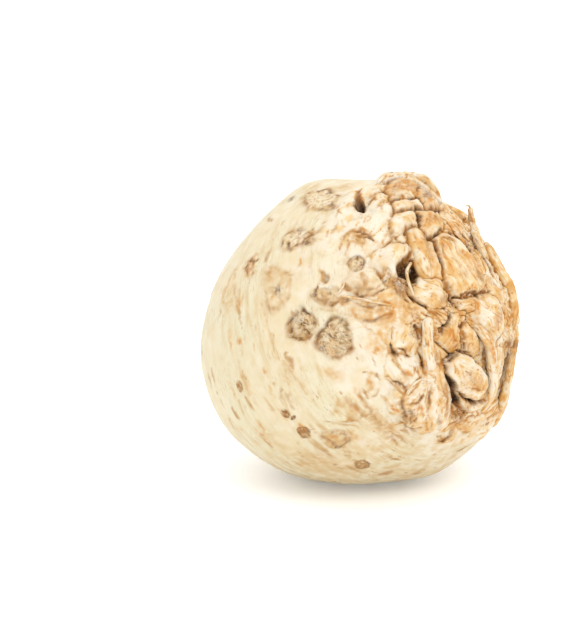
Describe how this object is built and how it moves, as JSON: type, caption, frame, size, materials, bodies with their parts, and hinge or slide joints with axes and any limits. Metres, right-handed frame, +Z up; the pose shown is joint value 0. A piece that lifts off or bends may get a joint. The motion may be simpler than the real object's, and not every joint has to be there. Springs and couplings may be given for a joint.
{
  "type": "celeriac root",
  "caption": "Round celeriac root lying on its side, smooth pale skin with a gnarled trimmed root end and a round leaf scar",
  "frame": {"origin": "centre of the small flat spot the root rests on", "axes": "+Z is up out of the rest spot; +X is the level direction that the gnarled, trimmed root end faces; the root's own axis rises 26 degrees above +X; +Y completes a right-handed frame"},
  "size_m": [0.1227, 0.1203, 0.1161],
  "materials": {
    "flesh": "matt, dry, pale cream root skin and flesh"
  },
  "bodies": {
    "root": {"celeriac_root": "flesh"}
  },
  "joints": []
}
